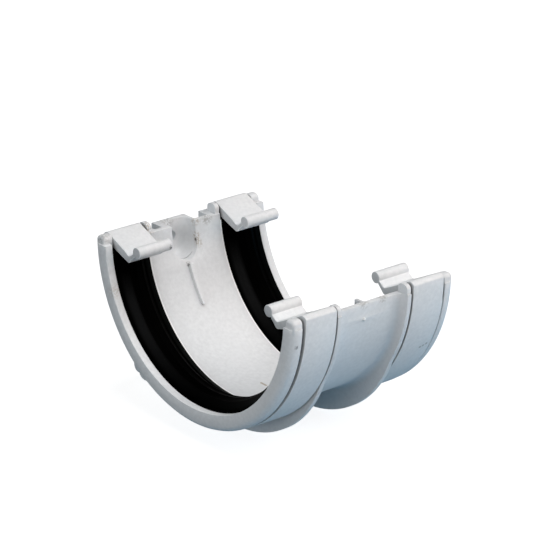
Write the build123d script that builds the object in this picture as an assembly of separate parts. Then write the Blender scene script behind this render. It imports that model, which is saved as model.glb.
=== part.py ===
from build123d import *
import math
import os

# Gutter union bracket for half-round gutter, in millimetres.
# X runs along the gutter, -Y is the open front, +Y is the fascia board behind, and Z is up.
# The origin is on the gutter's own axis, half-way along the union.

# Gutter that the union takes, and the air left around it in the mouth.
gutter_diameter = 112.0
mouth_clearance = 0.3

# Trough between the two sockets.
trough_relief = 1.1
trough_wall = 2.3
rim_height = -3.0

# Sockets: seal seat, wall behind it, strap channel and the flanges beside the channel.
seal_depth = 1.9
socket_wall = 2.0
channel_inner_x = 19.25
channel_width = 18.15
flange_width = 5.0
flange_step = 0.25
flange_round = 1.9
lip_width = 3.4
front_ease = 1.6
seal_inset = 0.45
socket_drop = 3.0

# Inner webs: a thin flange faired into the trough, deeper underneath, with a post at the back.
web_flange = 2.0
fairing_radius = 3.3
keel_depth = 6.6
keel_radius = 57.9
post_width = 5.3
post_depth = 9.0
heel_round = 4.0

# Rounded caps that stand on the ends of the flanges beside the straps.
web_cap_height = 4.0
end_cap_height = 3.5
cap_setback = 1.1
cap_round = 2.0
cap_end_round = 1.3

# Straps.
strap_thickness = 2.8
strap_clearance = 0.1
strap_inner_gap = 1.0
strap_outer_gap = 1.4
back_rise = 4.1
front_rise = 4.8
hook_flap = 2.9
hook_shoulder = 2.4
flap_reach = 5.7
valley_reach = 9.0
bead_reach = 13.9
front_stretch = 1.1
flap_drop = 1.0
valley_drop = 3.1
bead_drop = 0.0
bead_radius = 2.5

# Rubber seals.
seal_clearance = 0.05
seal_end_gap = 0.6
seal_end_slope = 20.0
seal_foot = 0.25
seal_crest_height = 4.5
seal_crest_reach = 7.4
seal_crest_width = 1.2

# Fixing box behind the trough, with the screw hole and the screwdriver opening.
fascia_gap = 2.7
box_width = 17.2
box_offset = -1.5
box_depth = 21.0
plate_thickness = 2.4
opening_width = 12.4
opening_offset = -0.5
opening_depth = 15.6
pocket_fillet = 3.6
screw_hole = 4.8
screw_drop = 7.4

# Foot plate low down at the back.
foot_width = 41.0
foot_height = 34.8
foot_corner = 6.5
foot_thickness = 3.0

# Stop rib, front tab and gate pip.
rib_width = 1.9
rib_height = 1.6
rib_from = -20.1
rib_to = -37.8
tab_length = 4.2
tab_width = 1.4
tab_depth = 3.6
tab_offset = -0.9
pip_radius = 0.8
pip_drop = 6.9

gutter_radius = gutter_diameter / 2
lip_radius = gutter_radius + mouth_clearance
trough_radius = lip_radius + trough_relief
trough_outer = trough_radius + trough_wall
seat_radius = trough_radius + seal_depth
socket_outer = seat_radius + socket_wall
strap_inner = socket_outer + strap_clearance
strap_outer = strap_inner + strap_thickness
flange_radius = strap_outer - flange_step
trough_end = channel_inner_x + seal_inset
channel_outer_x = channel_inner_x + channel_width
half_length = channel_outer_x + flange_width
lip_start = half_length - lip_width
socket_top = rim_height - socket_drop
keel_bottom = -strap_outer - keel_depth
keel_centre = keel_bottom + keel_radius
fascia_face = strap_outer + fascia_gap
plate_front = fascia_face - plate_thickness
far = 300.0


def section(face, x0, x1):
    """Carries a face drawn in Y and Z from x0 to x1 along the gutter."""
    return extrude(Plane.YZ.offset(x0) * face, amount=x1 - x0)


def below(top):
    """Everything under a level, as a face in Y and Z."""
    return Pos(0, top - far / 2) * Rectangle(far, far)


def half_ring(inner, outer, x0, x1, top):
    """A trough-shaped band between two radii, open above the given level."""
    return section((Circle(outer) - Circle(inner)) & below(top), x0, x1)


def turned(face, top):
    """Turns a face drawn in X and radius about the gutter's axis, open above the given level."""
    return revolve(Plane.XZ * face, Axis.X) & section(below(top), -far, far)


def span(x0, x1, r0, r1):
    """Rectangle in X and radius."""
    return Pos((x0 + x1) / 2, (r0 + r1) / 2) * Rectangle(x1 - x0, r1 - r0)


def nearest(face, point):
    """The corner of a flat face that lies nearest to a point."""
    return min(face.vertices(), key=lambda v: math.hypot(v.X - point[0], v.Y - point[1]))


def rounded(face, point, radius):
    """The face with the corner nearest to a point rounded."""
    return fillet(nearest(face, point), radius)


def eased(face, point, size):
    """The face with the corner nearest to a point taken off in three flats."""
    before = [(v.X, v.Y) for v in face.vertices()]
    face = chamfer(nearest(face, point), size)
    fresh = [v for v in face.vertices() if all(math.hypot(v.X - x, v.Y - y) > 0.001 for x, y in before)]
    return chamfer(fresh, size * 0.35)


def facing_front(y, face, depth):
    """Carries a face drawn in X and Z forward from the plane at y."""
    start = Plane(origin=(0, y, 0), x_dir=(1, 0, 0), z_dir=(0, -1, 0))
    return extrude(start * face, amount=depth)


def end_flange():
    """Rounded end flange with the narrow lip that guides the gutter in."""
    profile = span(channel_outer_x, half_length, seat_radius, flange_radius)
    profile += span(lip_start, half_length, lip_radius, seat_radius + socket_wall / 2)
    profile = eased(profile, (half_length, flange_radius), min(flange_round, 0.4 * flange_width))
    profile = chamfer(nearest(profile, (channel_outer_x, flange_radius)), 0.15 * flange_round)
    return turned(profile, rim_height) - section(Pos(-front_ease, 0) * Circle(lip_radius), 0, far)


def fairing():
    """Hollow curve that leads the trough's outside up to the web's flange."""
    radius = min(fairing_radius, flange_radius - trough_outer)
    root = channel_inner_x - web_flange
    corner = span(root - radius, root + web_flange / 2, trough_outer - trough_wall / 2, trough_outer + radius)
    corner -= Pos(root - radius, trough_outer + radius) * RegularPolygon(radius, 16, major_radius=False, rotation=11.25)
    return turned(corner, rim_height)


def leg(depth):
    """Side view of the back of a web, with its heel rounded, as deep as given."""
    back = fascia_face - foot_thickness / 2
    face = Pos(back - depth / 2, (rim_height + keel_bottom) / 2) * Rectangle(depth, rim_height - keel_bottom)
    return rounded(face, (back, keel_bottom), heel_round)


def web_outline():
    """Side view of one web: round in front, deeper underneath, straight down to the foot behind."""
    back = fascia_face - foot_thickness / 2
    outline = Circle(flange_radius) + Pos(0, keel_centre) * Circle(keel_radius)
    outline += leg(back)
    return (outline - Circle(trough_radius + trough_wall / 2)) & below(rim_height)


def post():
    """Thicker back edge of a web, which runs down to the foot."""
    face = leg(post_depth) - Circle(trough_radius + trough_wall / 2)
    return section(face, channel_inner_x - post_width, channel_inner_x)


def cap(x0, x1, height, side):
    """Rounded cap on the end of a flange, at the back for side 1 and at the front for side -1."""
    depth = flange_radius - trough_radius - cap_setback
    middle = side * (trough_radius + flange_radius) / 2
    face = Pos(middle, rim_height + (height - 1) / 2) * Rectangle(depth, height + 1)
    tops = face.vertices().sort_by(Axis.Y)[-2:]
    return section(fillet(tops, min(cap_round, 0.45 * depth, 0.9 * height)), x0, x1)


def domed_cap(x0, x1, height, side):
    """A cap whose outer end is rounded down too."""
    block = cap(x0, x1, height, side)
    rim = block.faces().sort_by(Axis.X)[-1].edges().filter_by(lambda e: e.center().Z > rim_height - 0.6)
    return fillet(rim, min(cap_end_round, 0.4 * (x1 - x0)))


def socket():
    """One socket of the union, drawn on the +X side."""
    mid_wall = seat_radius + socket_wall / 2
    body = half_ring(seat_radius, socket_outer, channel_inner_x - 1, channel_outer_x + 1, socket_top)
    body += half_ring(trough_radius, mid_wall, channel_inner_x - 1, trough_end, socket_top)
    body += end_flange()
    body += section(web_outline(), channel_inner_x - web_flange, channel_inner_x)
    body += fairing()
    body += post()
    for side in (1, -1):
        body += cap(channel_inner_x - web_flange, channel_inner_x, web_cap_height, side)
        body += domed_cap(channel_outer_x, half_length - cap_setback / 2, end_cap_height, side)
    return body


def fixing_box():
    """Open-topped box behind the trough that holds the fixing screw."""
    depth = fascia_face - trough_radius
    middle = Pos(box_offset, trough_radius + depth / 2, rim_height - box_depth / 2)
    return middle * Box(box_width, depth, box_depth)


def pocket():
    """Round-bottomed recess, open at the top, that runs from the trough back to the fascia plate."""
    radius = opening_width / 2
    floor = rim_height - opening_depth
    face = Pos(opening_offset, floor + radius) * Circle(radius)
    face += Pos(opening_offset, floor + radius + far / 2) * Rectangle(2 * radius, far)
    space = facing_front(plate_front, face, plate_front - trough_radius / 2)
    back = space.edges().filter_by(lambda e: abs(e.center().Y - plate_front) < 0.01 and e.center().Z < far / 2)
    return fillet(back, min(pocket_fillet, 0.8 * radius))


def screw_bore():
    """Hole for the fixing screw through the fascia plate."""
    face = Pos(box_offset, rim_height - screw_drop) * Circle(screw_hole / 2)
    return facing_front(fascia_face + 1, face, plate_thickness + 2)


def foot():
    """Plain plate low at the back that steadies the union against the fascia board."""
    plate = Pos(0, keel_bottom + foot_height / 2) * RectangleRounded(foot_width, foot_height, foot_corner)
    return facing_front(fascia_face, plate, foot_thickness)


def stop_rib():
    """Rib inside the trough at mid length that the gutter ends stop against."""
    top = trough_radius * math.sin(math.radians(rib_from))
    low = trough_radius * math.sin(math.radians(rib_to))
    band = Circle(trough_radius + trough_wall / 2) - Circle(trough_radius - rib_height)
    window = Pos(far / 2, (top + low) / 2) * Rectangle(far, top - low)
    return section(band & window, -rib_width / 2, rib_width / 2)


def front_tab():
    """Small stop on the front rim at mid length."""
    root = trough_wall / 2
    middle = Pos(tab_offset, -trough_radius + (tab_length - root) / 2, rim_height - tab_depth / 2)
    return middle * Box(tab_width, tab_length + root, tab_depth)


def gate_pip():
    """Small round mark on the outside of the front wall."""
    z = rim_height - pip_drop
    return Pos(box_offset, -math.sqrt(trough_outer**2 - z**2), z) * Sphere(pip_radius)


def union_body():
    """The one-piece moulding."""
    right = socket()
    body = half_ring(trough_radius, trough_outer, -channel_inner_x, channel_inner_x, rim_height)
    body += right
    body += mirror(right, about=Plane.YZ)
    body += fixing_box()
    body += foot()
    body -= section(Circle(trough_radius), -channel_inner_x, channel_inner_x)
    body += stop_rib()
    body += front_tab()
    body += gate_pip()
    body -= pocket()
    body -= screw_bore()
    return body


def hook_underside():
    """Point under a hook's flap, in Y and Z at the back."""
    return gutter_radius - flap_reach + 1.4, rim_height - flap_drop - hook_flap - 0.5


def hook_face(rise, stretch):
    """Outline of a hook in Y and Z, drawn at the back: shoulder, sloping flap, valley and bead."""
    top = rim_height + rise
    flap = (gutter_radius - flap_reach, rim_height - flap_drop)
    valley = (gutter_radius - valley_reach - stretch, rim_height - valley_drop)
    bead = (gutter_radius - bead_reach - stretch, rim_height - bead_drop)
    ridge = (strap_outer - hook_shoulder, top)
    shoulder = (strap_outer, top - hook_shoulder / 2)
    under_valley = (valley[0] + 0.2, valley[1] - hook_flap)
    under_flap = hook_underside()
    under_ridge = (strap_inner - 1.0, ridge[1] - hook_flap - 2.3)
    throat = (strap_inner, under_ridge[1] - 1.4)
    neck_top = (bead[0] + bead_radius * 0.55, bead[1] + bead_radius * 0.8)
    neck_low = (bead[0] + bead_radius * 0.55, bead[1] - bead_radius * 0.8)
    foot_level = socket_top - 3
    face = make_face(
        Polyline(
            (strap_outer, foot_level),
            shoulder,
            ridge,
            flap,
            valley,
            neck_top,
            bead,
            neck_low,
            under_valley,
            under_flap,
            under_ridge,
            throat,
            (strap_inner, foot_level),
            close=True,
        )
    )
    for corner, radius in ((shoulder, 1.2), (ridge, 2.0), (flap, 2.5), (valley, 0.9), (under_valley, 1.8)):
        face = rounded(face, corner, radius)
    face -= below(0) - Circle(strap_outer)
    return face + Pos(*bead) * Circle(bead_radius)


def strap(side):
    """Spring strap that lies in the channel and hooks over both edges of the gutter."""
    width = channel_width - strap_inner_gap - strap_outer_gap
    inner = channel_inner_x + strap_inner_gap
    x0 = inner if side > 0 else -inner - width
    face = (Circle(strap_outer) - Circle(strap_inner)) & below(socket_top - 2)
    face += hook_face(back_rise, 0)
    face += mirror(hook_face(front_rise, front_stretch), about=Plane.YZ)
    return section(face, x0, x0 + width)


def seal_end():
    """Everything under the hooks of a strap, as a face in Y and Z that slopes the way they do."""
    rise = math.tan(math.radians(seal_end_slope))
    y, z = hook_underside()
    middle = z - seal_end_gap - y * rise
    high = middle + far * rise
    return make_face(Polyline((0, middle), (far, high), (far, -far), (-far, -far), (-far, high), close=True))


def seal(side):
    """Rubber seal in its seat: it rises from the trough to a crest and slopes back to the lip."""
    outer = seat_radius - seal_clearance
    x0 = trough_end + seal_clearance
    x1 = lip_start - seal_clearance
    crest = lip_radius - seal_crest_height
    x2 = trough_end + seal_crest_reach
    profile = make_face(
        Polyline(
            (x0, outer),
            (x0, trough_radius),
            (x2, crest),
            (x2 + seal_crest_width, crest),
            (x1, lip_radius + seal_foot),
            (x1, outer),
            close=True,
        )
    )
    ring = revolve(Plane.XZ * profile, Axis.X) & section(seal_end(), 0, far)
    return ring if side > 0 else mirror(ring, about=Plane.YZ)


def main():
    os.makedirs("parts", exist_ok=True)
    nodes = {
        "union_body": union_body(),
        "strap_left": strap(-1),
        "strap_right": strap(1),
        "seal_left": seal(-1),
        "seal_right": seal(1),
    }
    for name, shape in nodes.items():
        export_step(shape, f"parts/{name}.step")
        print(name, len(shape.solids()), round(shape.volume))


main()
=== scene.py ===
# %% [markdown]
# # A union bracket for half-round gutter
# The bracket is one white plastic moulding with a socket at each end. Each socket
# has a black rubber seal and a spring strap that hooks over the gutter's edges.
# The solid shapes come from the CAD model, in metres. This lesson gives them what makes
# them look real: soft edges, plastic and rubber, fuller straps and seals, and the light.

# %% Load the CAD model
import bpy
import bmesh
import math
from mathutils import Euler, Matrix, Vector


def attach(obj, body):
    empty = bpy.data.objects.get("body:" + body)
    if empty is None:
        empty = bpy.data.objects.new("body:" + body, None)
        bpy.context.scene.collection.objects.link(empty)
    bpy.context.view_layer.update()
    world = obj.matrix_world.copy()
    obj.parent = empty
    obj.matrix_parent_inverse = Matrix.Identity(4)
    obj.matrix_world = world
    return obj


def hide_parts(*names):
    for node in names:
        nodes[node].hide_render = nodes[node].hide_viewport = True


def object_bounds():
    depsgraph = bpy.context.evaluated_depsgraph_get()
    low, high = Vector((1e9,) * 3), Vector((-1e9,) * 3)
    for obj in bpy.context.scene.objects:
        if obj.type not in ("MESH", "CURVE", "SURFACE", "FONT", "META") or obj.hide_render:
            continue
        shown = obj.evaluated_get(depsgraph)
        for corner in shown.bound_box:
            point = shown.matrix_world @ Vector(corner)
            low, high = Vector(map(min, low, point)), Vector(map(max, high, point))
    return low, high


mm = 0.001
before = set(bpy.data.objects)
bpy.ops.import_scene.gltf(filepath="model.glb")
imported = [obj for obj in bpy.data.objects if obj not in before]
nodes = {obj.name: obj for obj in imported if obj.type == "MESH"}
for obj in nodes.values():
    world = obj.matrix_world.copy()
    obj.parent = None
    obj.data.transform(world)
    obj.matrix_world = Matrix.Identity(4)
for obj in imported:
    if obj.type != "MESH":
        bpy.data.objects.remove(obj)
cad_box = [list(corner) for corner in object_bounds()]
scene = bpy.context.scene
print("CAD nodes:", sorted(nodes))
print("CAD box in mm:", [[round(v / mm, 1) for v in corner] for corner in cad_box])

# %% [markdown]
# ## The camera
# The picture was taken with a long lens, from above and a little to the left, so
# the near end looks hardly larger than the far one. The camera's place and its two
# angles were found by matching the round edges of the sockets in the picture. A camera
# starts out looking straight down, so the first angle tilts it up towards the level,
# and the second turns it to the right round the upright.

# %% Place the camera
tilt_deg, turn_deg = 68.7362, -39.8007
place = Vector((-0.7794, -0.9335, 0.4672))

camera = bpy.data.objects.new("camera", bpy.data.cameras.new("camera"))
camera.data.sensor_width = 36
camera.data.lens = 214.07
camera.data.clip_end = 50
facing = Euler((math.radians(tilt_deg), 0, math.radians(turn_deg)))
camera.matrix_world = Matrix.Translation(place) @ facing.to_matrix().to_4x4()
scene.collection.objects.link(camera)
scene.camera = camera
print("camera is", round(place.length, 3), "m from the middle of the gutter")

# %% [markdown]
# ## Helpers for materials
# Every finish here is a small network of nodes, and a few helpers keep the cells short.
# The first ones add a node, link two sockets and begin a material. The others each
# stand for one kind of node: a noise, a stretch of its range, a mix of two colours by a
# mask, a sum on numbers or places, and a product of two masks.

# %% Node helpers
def add(material, kind, **inputs):
    node = material.node_tree.nodes.new(kind)
    for name, value in inputs.items():
        node.inputs[name.replace("_", " ")].default_value = value
    return node


def join(material, source, target):
    material.node_tree.links.new(source, target)


def start(name):
    material = bpy.data.materials.new(name)
    material.use_nodes = True
    shader = material.node_tree.nodes["Principled BSDF"]
    coords = add(material, "ShaderNodeTexCoord")
    return material, shader, coords.outputs["Object"]


def noise(material, where, scale, detail=3.0, roughness=0.5):
    node = add(material, "ShaderNodeTexNoise", Scale=scale, Detail=detail, Roughness=roughness)
    join(material, where, node.inputs["Vector"])
    return node.outputs["Fac"]


def ramp(material, source, low, high, first, last):
    node = add(
        material, "ShaderNodeMapRange", From_Min=low, From_Max=high, To_Min=first, To_Max=last
    )
    join(material, source, node.inputs["Value"])
    return node.outputs["Result"]


def blend(material, amount, first, second):
    node = add(material, "ShaderNodeMix")
    node.data_type = "RGBA"
    join(material, amount, node.inputs[0])
    for socket, value in ((node.inputs[6], first), (node.inputs[7], second)):
        if isinstance(value, tuple):
            socket.default_value = value
        else:
            join(material, value, socket)
    return node.outputs[2]


def reckon(material, kind, operation, *sources):
    node = add(material, kind)
    node.operation = operation
    for source, socket in zip(sources, node.inputs):
        join(material, source, socket)
    return node


def times(material, first, second):
    return reckon(material, "ShaderNodeMath", "MULTIPLY", first, second).outputs[0]


def split(material, where):
    axes = add(material, "ShaderNodeSeparateXYZ")
    join(material, where, axes.inputs[0])
    return axes.outputs


# %% [markdown]
# ## Small stains
# The fitting in the picture is not quite clean: a little brown dirt sits at the edge of
# the screw pocket and on the rims, and there is a scratch on the right strap. The dark
# spot in the gap behind the left strap's back flap is dirt and painted shade together.
# A stain is a soft ball round one point of the object. A fine noise breaks up the larger ones.

# %% Stains
brown, dark, grey = (0.3, 0.22, 0.13, 1), (0.12, 0.11, 0.1, 1), (0.35, 0.34, 0.32, 1)
body_stains = [  # where in millimetres, reach in millimetres, colour, how strong
    ((-3, 3, -57.5), 0.8, brown, 0.8),
    ((-3, 2, -57.5), 0.8, brown, 0.8),
    ((-3, 1, -57.5), 0.8, brown, 0.8),
    ((-3, 0, -57.5), 0.8, brown, 0.8),
    ((6, 57, -10), 2.5, brown, 0.6),
    ((6.5, 56, -13), 2.5, brown, 0.5),
    ((5.5, 57, -11.5), 1.0, dark, 1.0),
    ((-1, 53.5, -20), 1.5, dark, 0.7),
    ((-4, 64.5, -3), 5.0, grey, 0.6),
    ((6, 58, -3), 3.5, brown, 0.4),
    ((12, 57.5, -3.5), 3.5, grey, 0.7),
    ((-19, 58, -1), 4.0, brown, 0.6),
    ((-41, 52.5, -22), 4.0, brown, 0.3),
    ((-41, 61, 0), 4.5, grey, 0.6),
    ((8, -58.5, -3), 3.0, grey, 0.7),
    ((-2, -58.5, -3), 3.0, grey, 0.6),
    ((-40, -63, -10.5), 1.2, dark, 0.8),
]
strap_stains = [
    # dirt and painted shade in the gap between the left strap's back flap and the cap
    ((-20.5, 40, -3.5), 1.8, dark, 0.8),
    ((31.5, -56, -31.5), 0.8, grey, 0.9),
    ((33, -56, -31), 0.8, grey, 0.9),
    ((34.5, -56.5, -30.5), 0.8, grey, 0.9),
]
solid_part = 0.4  # the inner share of a stain's reach that has its full strength
broken_from, speckle_scale = 1.0, 1300.0  # millimetres, and per metre


def stain(material, where, colour, spot, reach, tint, strength):
    gap = reckon(material, "ShaderNodeVectorMath", "DISTANCE", where)
    gap.inputs[1].default_value = [part * mm for part in spot]
    edge = reach * mm
    near = ramp(material, gap.outputs["Value"], edge * solid_part, edge, strength, 0.0)
    if reach > broken_from:
        speckle = noise(material, where, speckle_scale)
        near = times(material, near, ramp(material, speckle, 0.42, 0.56, 0.0, 1.0))
    return blend(material, near, colour, tint)


print(len(body_stains), "stains on the moulding,", len(strap_stains), "on the straps")

# %% [markdown]
# ## Painted highlight at the ends of the trough
# Beside each seal the end of the trough shows a bright line, where its small round
# catches the light. It could be modelled as a tiny bevel, but here it is a painted
# highlight in the colour. Two masks along X and one on the distance from the gutter's
# axis bound it.

# %% Painted end highlight
# The colour and the reach of the painted highlight at the trough's ends.
end_highlight_colour = (0.98, 0.98, 0.98, 1)
end_highlight_start, end_highlight_end, end_highlight_radius = 18.9 * mm, 21.7 * mm, 58.0 * mm
end_highlight_fade, end_highlight_stop = 0.4 * mm, 0.2 * mm


def painted_end_highlight(material, where, colour):
    aside = reckon(material, "ShaderNodeMath", "ABSOLUTE", split(material, where)["X"]).outputs[0]
    across = reckon(material, "ShaderNodeVectorMath", "MULTIPLY", where)
    across.inputs[1].default_value = (0, 1, 1)
    radius = reckon(material, "ShaderNodeVectorMath", "LENGTH", across.outputs[0])
    inside = ramp(material, radius.outputs["Value"], end_highlight_radius, end_highlight_radius + end_highlight_fade, 1.0, 0.0)
    past_start = ramp(material, aside, end_highlight_start, end_highlight_start + end_highlight_fade, 0.0, 1.0)
    before_seal = ramp(material, aside, end_highlight_end - end_highlight_stop, end_highlight_end, 1.0, 0.0)
    at_end = times(material, past_start, before_seal)
    return blend(material, times(material, inside, at_end), colour, end_highlight_colour)


# %% [markdown]
# ## The white plastic
# Gutter fittings are made of hard white PVC. The mould leaves it smooth with a soft
# sheen, and it carries a faint mottle: a large soft noise and a small one mix two close
# whites. Where little sky is seen the colour is darkened, a painted shade in narrow gaps.
# The moulding and the straps share one recipe, with other whites and a wider shade reach.

# %% White plastic
cloud_scale, fleck_scale, sheen_scale, grain_scale = 60.0, 620.0, 140.0, 900.0  # per metre
fleck_shade = 0.94
# the colour of the painted shade in narrow gaps and creases
crevice_shade_colour = (0.13, 0.13, 0.125, 1)


def plastic(name, base, shade, stains, corner, end_highlight=False):
    material, shader, where = start(name)
    cloud = ramp(material, noise(material, where, cloud_scale, 4.0), 0.35, 0.65, 0.0, 1.0)
    fleck = ramp(material, noise(material, where, fleck_scale, 2.0), 0.3, 0.7, 0.0, 1.0)
    colour = blend(material, cloud, base + (1,), shade + (1,))
    colour = blend(material, fleck, colour, tuple(part * fleck_shade for part in shade) + (1,))
    # Painted highlight: a bright line along the ends of the trough.
    if end_highlight:
        colour = painted_end_highlight(material, where, colour)
    for spot, reach, tint, strength in stains:
        colour = stain(material, where, colour, spot, reach, tint, strength)
    # Painted shade: the colour turns dark where little sky is seen, in gaps and creases.
    open_sky = add(material, "ShaderNodeAmbientOcclusion", Distance=corner)
    open_sky.samples = 8
    crevice_shade = ramp(material, open_sky.outputs["AO"], 0.1, 0.65, 1.0, 0.0)
    colour = blend(material, crevice_shade, colour, crevice_shade_colour)
    join(material, colour, shader.inputs["Base Color"])
    sheen = ramp(material, noise(material, where, sheen_scale, 5.0), 0.3, 0.7, 0.38, 0.5)
    join(material, sheen, shader.inputs["Roughness"])
    shader.inputs["IOR"].default_value = 1.5
    grain = add(material, "ShaderNodeBump", Strength=0.12, Distance=0.3 * mm)
    join(material, noise(material, where, grain_scale, 4.0, 0.6), grain.inputs["Height"])
    join(material, grain.outputs["Normal"], shader.inputs["Normal"])
    return material


body_shade_reach, edge_shade_reach, strap_shade_reach = 1.6 * mm, 0.3 * mm, 3 * mm  # how far the painted shade in gaps reaches
white = plastic(
    "white_plastic", (0.78, 0.79, 0.8), (0.75, 0.76, 0.77), body_stains, body_shade_reach, True
)
# A lighter white for the bevelled edges: a painted highlight.
white_edge_highlight = plastic(
    "white_plastic_edge_highlight", (0.96, 0.97, 0.98), (0.93, 0.94, 0.95), body_stains, edge_shade_reach, True
)
strap_white = plastic(
    "strap_plastic", (0.8, 0.805, 0.81), (0.765, 0.775, 0.785), strap_stains, strap_shade_reach
)
# A darker white for the straps' side faces: a painted shade.
strap_side_shade = plastic(
    "strap_side_painted_shade", (0.61, 0.62, 0.63), (0.58, 0.59, 0.6), strap_stains, strap_shade_reach
)
# A lighter white for the straps' bevelled edges: a painted highlight.
strap_edge_highlight = plastic(
    "strap_plastic_edge_highlight", (0.88, 0.885, 0.89), (0.85, 0.86, 0.87), strap_stains, strap_shade_reach
)
print("plastic nodes:", len(white.node_tree.nodes))

# %% [markdown]
# ## The black rubber
# The seals are black rubber with almost no shine, so the colour is close to black and
# a soft noise varies the roughness. On both seals a band near the left side is painted
# a lighter grey, a painted sheen where that slope catches the light. Four masks bound
# it: two along X for the sides of the band, and two along Z, so that it fades towards
# the hooks and towards the bottom.

# %% Black rubber
# The reach and the colour of the painted sheen on the seals' left slope.
painted_sheen_fade = 1.2 * mm
painted_sheen_colour = (0.007, 0.0071, 0.0073, 1)


def rubber(name, painted_sheen_from, painted_sheen_to):
    material, shader, where = start(name)
    dust = ramp(material, noise(material, where, 45.0, 5.0), 0.45, 0.75, 0.0, 1.0)
    colour = blend(material, dust, (0.0001, 0.0001, 0.0001, 1), (0.0004, 0.0004, 0.0004, 1))
    axes = split(material, where)
    along, height = axes["X"], axes["Z"]
    left_side = ramp(material, along, painted_sheen_from, painted_sheen_from + painted_sheen_fade, 0.0, 1.0)
    right_side = ramp(material, along, painted_sheen_to - painted_sheen_fade, painted_sheen_to, 1.0, 0.0)
    top_side = ramp(material, height, -26 * mm, -14 * mm, 1.0, 0.0)
    low_side = ramp(material, height, -56 * mm, -38 * mm, 0.0, 1.0)
    band = times(material, left_side, right_side)
    # Painted sheen: the band is lighter where the slope catches the light.
    painted_sheen = times(material, band, times(material, top_side, low_side))
    colour = blend(material, painted_sheen, colour, painted_sheen_colour)
    join(material, colour, shader.inputs["Base Color"])
    sheen = ramp(material, noise(material, where, 160.0, 4.0), 0.3, 0.7, 0.45, 0.55)
    join(material, sheen, shader.inputs["Roughness"])
    shader.inputs["Specular IOR Level"].default_value = 0.004
    grain = add(material, "ShaderNodeBump", Strength=0.1, Distance=0.2 * mm)
    join(material, noise(material, where, 1200.0), grain.inputs["Height"])
    join(material, grain.outputs["Normal"], shader.inputs["Normal"])
    return material


rubber_left = rubber("rubber_left", -37.5 * mm, -33.5 * mm)
rubber_right = rubber("rubber_right", 20.8 * mm, 24.8 * mm)
print("rubber nodes:", len(rubber_left.node_tree.nodes))

# %% [markdown]
# ## Smooth shading
# The CAD meshes are loose triangles, so every curved face shows its facets. A small
# group of geometry nodes smooths the shading everywhere but over sharp turns. It works
# as a modifier and leaves the mesh itself alone. The normals that came with the mesh
# belong to the loose triangles, so they are dropped first.

# %% Smoothing group
def smoothing(limit_deg):
    group = bpy.data.node_groups.new("smooth_curves", "GeometryNodeTree")
    for way in ("INPUT", "OUTPUT"):
        group.interface.new_socket("Geometry", in_out=way, socket_type="NodeSocketGeometry")
    come, go = group.nodes.new("NodeGroupInput"), group.nodes.new("NodeGroupOutput")
    forget = group.nodes.new("GeometryNodeRemoveAttribute")
    forget.inputs["Name"].default_value = "custom_normal"
    angle = group.nodes.new("GeometryNodeInputMeshEdgeAngle")
    below = group.nodes.new("FunctionNodeCompare")
    below.operation = "LESS_THAN"
    below.inputs["B"].default_value = math.radians(limit_deg)
    faces = group.nodes.new("GeometryNodeSetShadeSmooth")
    edges = group.nodes.new("GeometryNodeSetShadeSmooth")
    edges.domain = "EDGE"
    link = group.links.new
    link(come.outputs[0], forget.inputs[0])
    link(forget.outputs[0], faces.inputs[0])
    link(faces.outputs[0], edges.inputs[0])
    link(angle.outputs["Unsigned Angle"], below.inputs["A"])
    link(below.outputs[0], edges.inputs["Shade Smooth"])
    link(edges.outputs[0], go.inputs[0])
    return group


smooth_curves = smoothing(40)
print(smooth_curves.name, "has", len(smooth_curves.nodes), "nodes")

# %% [markdown]
# ## Soft edges
# A moulding never has knife edges, and light runs along the small rounds. Weld joins
# the corners of the triangles, so that Bevel can find the sharp edges and round them.
# The new faces take the piece's last material, which on the plastic is a lighter white, a painted
# highlight.

# %% Round the edges
weld_gap = 0.002 * mm
sharp_deg = 38
edge_round = 0.5 * mm


def soften(piece, width, steps):
    weld = piece.modifiers.new("weld", "WELD")
    weld.merge_threshold = weld_gap
    bevel = piece.modifiers.new("bevel", "BEVEL")
    bevel.width = width
    bevel.segments = steps
    bevel.limit_method = "ANGLE"
    bevel.angle_limit = math.radians(sharp_deg)
    bevel.use_clamp_overlap = True
    # The bevel faces take the last material; on the plastic that is a painted edge highlight.
    bevel.material = len(piece.data.materials) - 1
    smooth = piece.modifiers.new("smooth", "NODES")
    smooth.node_group = smooth_curves


# %% [markdown]
# ## Finish for the moulding
# The moulding keeps its CAD shape and gets the white plastic and small soft edges.

# %% Dress the moulding
union = nodes["union_body"]
union.data.materials.clear()
union.data.materials.append(white)
union.data.materials.append(white_edge_highlight)
soften(union, edge_round, 2)
print(union.name, "wears", white.name)

# %% [markdown]
# ## Freer beads on the straps
# Each hook ends in a round bead behind a valley. In the picture the valley is broader
# than the CAD one and the bead stands free of it. The change is under a millimetre, so
# points move and no new hook is drawn. Points on the bead turn further round its
# middle, and points on the valley's arc move out from the arc's middle.

# %% Free the beads
bead_z, bead_radius = -3.0 * mm, 2.5 * mm
on_bead_gap = 0.05 * mm
shoulder_deg, old_foot_deg, new_foot_deg = 40.0, 9.7, -20.0  # 0 points at the valley's side
valley_z, valley_reach, valley_growth = -6.1 * mm, 0.95 * mm, 1.6
wall_in, wall_up = 0.2 * mm, 0.62 * mm
back_hook = (1, 47.0 * mm, 42.1 * mm)  # which way it faces, then the valley's and bead's Y
front_hook = (-1, 45.9 * mm, 41.0 * mm)


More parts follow.
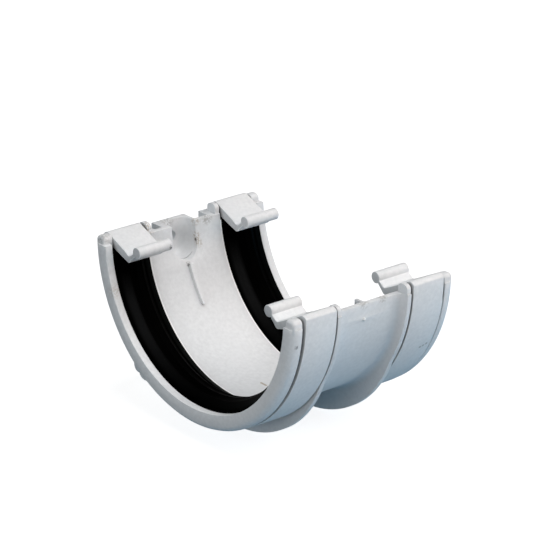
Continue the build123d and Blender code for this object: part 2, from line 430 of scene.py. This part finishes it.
def free_bead(sheet, facing, valley_y, bead_y):
    stretch = (shoulder_deg - new_foot_deg) / (shoulder_deg - old_foot_deg)
    foot_y = bead_y + bead_radius * math.cos(math.radians(new_foot_deg))
    foot_z = bead_z + bead_radius * math.sin(math.radians(new_foot_deg))
    wall_y, wall_z = valley_y - wall_in, valley_z + wall_up
    for vert in sheet.verts:
        y, z = facing * vert.co.y, vert.co.z
        turn = math.degrees(math.atan2(z - bead_z, y - bead_y))
        off_bead = abs(math.hypot(y - bead_y, z - bead_z) - bead_radius)
        if off_bead < on_bead_gap and old_foot_deg - 1 < turn < shoulder_deg:
            turn = math.radians(shoulder_deg - (shoulder_deg - turn) * stretch)
            y, z = bead_y + bead_radius * math.cos(turn), bead_z + bead_radius * math.sin(turn)
        elif math.hypot(y - valley_y, z - valley_z) < valley_reach:
            y = valley_y + (y - valley_y) * valley_growth
            z = valley_z + (z - valley_z) * valley_growth
            if y < wall_y:
                z = wall_z + (foot_z - wall_z) * (wall_y - y) / (wall_y - foot_y)
        vert.co.y, vert.co.z = facing * y, z


# %% [markdown]
# ## The straps
# In the picture the back hooks reach nearer to the end flanges than the CAD ones do, and
# the right strap is wider all the way. Each strap is therefore a merged copy of the CAD
# one, and the points on its outer side face slide out along X. Merging the flat
# triangles first lets the points of a side face move without folds.
# Their side faces get a darker white, a painted shade.

# %% Wider straps
flat_deg = 0.3
hooks_above = -9 * mm
back_extra = 1.2 * mm
hair = 0.01 * mm


def wide_strap(node, side, band_extra):
    sheet = bmesh.new()
    sheet.from_mesh(nodes[node].data)
    bmesh.ops.remove_doubles(sheet, verts=sheet.verts, dist=weld_gap)
    bmesh.ops.dissolve_limit(
        sheet, angle_limit=math.radians(flat_deg), verts=sheet.verts, edges=sheet.edges
    )
    free_bead(sheet, *back_hook)
    free_bead(sheet, *front_hook)
    outer_x = max(side * vert.co.x for vert in sheet.verts)
    for vert in sheet.verts:
        extra = band_extra
        if vert.co.z > hooks_above:
            extra = back_extra if vert.co.y > 0 else band_extra / 2
        if side * vert.co.x > outer_x - hair:
            vert.co.x += side * extra
    sheet.normal_update()
    # Faces that point along X take the darker white, a painted shade on the sides.
    for face in sheet.faces:
        face.material_index = 1 if abs(face.normal.x) > 0.9 else 0
    mesh = bpy.data.meshes.new(node + "_wide")
    sheet.to_mesh(mesh)
    sheet.free()
    piece = bpy.data.objects.new(node + "_wide", mesh)
    scene.collection.objects.link(piece)
    for finish in (strap_white, strap_side_shade, strap_edge_highlight):
        mesh.materials.append(finish)
    soften(piece, edge_round, 3)
    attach(piece, "root")
    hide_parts(node)
    print(piece.name, "is", round((outer_x + back_extra) / mm, 2), "mm out at its back hook")


wide_strap("strap_left", -1, 0)
wide_strap("strap_right", 1, 0.8 * mm)

# %% [markdown]
# ## The ribbed seals
# The rubber swells up from the trough to a crest and falls again to the lip, and low
# ribs run round it that grip the gutter. The CAD seal has the swelling. The ribs are
# fine relief, so each seal is made again here with them and stands in for the CAD
# one. Its section is drawn as a loop of a few vertices and spun round the gutter's
# axis, then two slanted cuts trim its ends below the strap's hooks.

# %% The seal's section
seal_start, seal_width = 19.8 * mm, 19.15 * mm
seal_back = 59.2 * mm
swell = [(1.0, 0.0), (5.0, 3.7), (8.2, 4.6), (11.4, 4.3), (15.2, 2.0)]  # along, rise in mm
rib_half, rib_rise = 0.5 * mm, 0.25 * mm


def seal_section(left_x, left_radius, right_radius):
    points = [(left_x, seal_back), (left_x, left_radius)]
    for along, rise in swell:
        x = left_x + along * mm
        slope = left_radius + (right_radius - left_radius) * along * mm / seal_width
        radius = slope - rise * mm
        if rise:
            foot = radius + rib_rise
            points += [(x - rib_half, foot), (x, radius), (x + rib_half, foot)]
        else:
            points.append((x, radius))
    return points + [(left_x + seal_width, right_radius), (left_x + seal_width, seal_back)]


# %% [markdown]
# ## Spin and trim the seals
# A spin over 178 degrees in 89 steps gives a facet every two degrees, which the smooth
# shading hides. Bisect cuts a half at a time, so each cut reaches only its own end, and
# the open ends are filled. The normals are recalculated, because a spin can turn a
# shape inside out.

# %% Ribbed seals
spin_start_deg, spin_deg, spin_steps = -1, -178, 89
trim_y, trim_z, trim_deg = 51.7 * mm, -7.7 * mm, 20
seal_round = 0.15 * mm


def ribbed_seal(node, finish, left_x, left_radius, right_radius):
    sheet = bmesh.new()
    first = math.radians(spin_start_deg)
    corners = []
    for x, radius in seal_section(left_x, left_radius, right_radius):
        corners.append(sheet.verts.new((x, radius * math.cos(first), radius * math.sin(first))))
    for here, following in zip(corners, corners[1:] + corners[:1]):
        sheet.edges.new((here, following))
    loop = sheet.verts[:] + sheet.edges[:]
    bmesh.ops.spin(
        sheet,
        geom=loop,
        cent=(0, 0, 0),
        axis=(1, 0, 0),
        angle=math.radians(spin_deg),
        steps=spin_steps,
    )
    lean = math.radians(trim_deg)
    for side in (1, -1):
        half = [face for face in sheet.faces if side * face.calc_center_median().y > 0]
        edges = {edge for face in half for edge in face.edges}
        verts = {vert for face in half for vert in face.verts}
        bmesh.ops.bisect_plane(
            sheet,
            geom=list(verts) + list(edges) + half,
            plane_co=(0, side * trim_y, trim_z),
            plane_no=(0, -side * math.sin(lean), math.cos(lean)),
            clear_outer=True,
        )
    bmesh.ops.holes_fill(sheet, edges=[edge for edge in sheet.edges if edge.is_boundary])
    bmesh.ops.recalc_face_normals(sheet, faces=sheet.faces)
    mesh = bpy.data.meshes.new(node + "_ribbed")
    sheet.to_mesh(mesh)
    sheet.free()
    piece = bpy.data.objects.new(node + "_ribbed", mesh)
    scene.collection.objects.link(piece)
    mesh.materials.append(finish)
    soften(piece, seal_round, 2)
    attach(piece, "root")
    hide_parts(node)
    print(piece.name, "has", len(mesh.polygons), "faces")


lip, trough = 56.5 * mm, 57.4 * mm
ribbed_seal("seal_left", rubber_left, -(seal_start + seal_width), lip, trough)
ribbed_seal("seal_right", rubber_right, seal_start, trough, lip)

# %% [markdown]
# ## The floor
# A catalogue picture has a plain white ground. The floor is a wide sheet, which also
# glows a little, as paper does under bright lamps. It throws no light back on the
# bracket, because in the picture the bracket's underside is dark.

# %% Floor
floor_half, floor_gap = 6.0, 0.5 * mm
paper_dark, paper_light = (0.34, 0.34, 0.34, 1), (0.36, 0.36, 0.36, 1)

sheet = bmesh.new()
bmesh.ops.create_grid(sheet, x_segments=1, y_segments=1, size=floor_half)
bmesh.ops.translate(sheet, verts=sheet.verts, vec=(0, 0, cad_box[0][2] - floor_gap))
floor_mesh = bpy.data.meshes.new("floor")
sheet.to_mesh(floor_mesh)
sheet.free()
floor = bpy.data.objects.new("floor", floor_mesh)
scene.collection.objects.link(floor)
ground, ground_shader, ground_place = start("studio_ground")
paper = ramp(ground, noise(ground, ground_place, 4.0), 0.3, 0.7, 0.0, 1.0)
join(ground, blend(ground, paper, paper_dark, paper_light), ground_shader.inputs["Base Color"])
ground_shader.inputs["Roughness"].default_value = 0.9
ground_shader.inputs["Emission Color"].default_value = (1, 1, 1, 1)
ground_shader.inputs["Emission Strength"].default_value = 0.86
floor_mesh.materials.append(ground)
floor.visible_diffuse = False
floor.visible_glossy = False
floor.visible_shadow = False
print("floor is", 2 * floor_half, "m wide")

# %% [markdown]
# ## The lights
# Soft light comes from square panels all round. Each panel is given by its compass
# direction, where 0 is in front of the open side and 90 is to the right, by its
# height in degrees, by its watts and by the tint of its cloth. The upper panels are
# white. Some low ones are cool or blue, which gives the undersides their cold shade,
# and two warm ones at the front right take the chill off the outer faces.

# %% Light panels
panel_distance = 1.8
panel_side = 1.1
white_cloth, cool, warm, blue = (1, 1, 1), (0.7, 0.88, 1), (1, 0.8, 0.7), (0.02, 0.55, 1)
panels = {
    "left_low": (-110, 15, 4.5, cool),
    "left_front": (-70, 15, 10, white_cloth),
    "right_front": (35, 15, 5.5, warm),
    "right_side": (70, 15, 2, warm),
    "left_upper": (-90, 45, 1, white_cloth),
    "front_upper": (0, 45, 7, white_cloth),
    "right_upper": (45, 45, 5.5, white_cloth),
    "right_back": (90, 45, 7.5, white_cloth),
    "top": (0, 75, 12, white_cloth),
    "front_under": (0, -25, 4, white_cloth),
    "right_under": (45, -25, 7.5, cool),
    "side_under": (90, -25, 4, blue),
    "under": (0, -65, 5, blue),
    "behind": (175, 8, 9, white_cloth),
}
for name, (around_deg, rise_deg, watts, tint) in panels.items():
    around, rise = math.radians(around_deg), math.radians(rise_deg)
    level = Vector((math.sin(around), -math.cos(around), 0)) * math.cos(rise)
    out = level + Vector((0, 0, math.sin(rise)))
    lamp = bpy.data.lights.new(name, "AREA")
    lamp.shape = "SQUARE"
    lamp.size = panel_side
    lamp.energy = watts
    lamp.color = tint
    light = bpy.data.objects.new(name, lamp)
    aim = out.to_track_quat("Z", "Y").to_matrix().to_4x4()
    light.matrix_world = Matrix.Translation(out * panel_distance) @ aim
    scene.collection.objects.link(light)
print(len(panels), "panels,", sum(panel[2] for panel in panels.values()), "watts")

# %% [markdown]
# ## The world
# The world adds almost no light. The camera sees it as white paper, so that there is
# no dark horizon in a low view. One node tells the camera's own rays from the rest.

# %% World
world_light, seen_light = 0.02, 1.0

world = bpy.data.worlds.new("studio")
world.use_nodes = True
backdrop = world.node_tree.nodes["Background"]
backdrop.inputs["Color"].default_value = (0.95, 0.97, 1, 1)
rays = add(world, "ShaderNodeLightPath")
glow = ramp(world, rays.outputs["Is Camera Ray"], 0.0, 1.0, world_light, seen_light)
join(world, glow, backdrop.inputs["Strength"])
scene.world = world
scene.view_settings.view_transform = "Standard"
print("the world lights at", world_light, "and is seen at", seen_light)
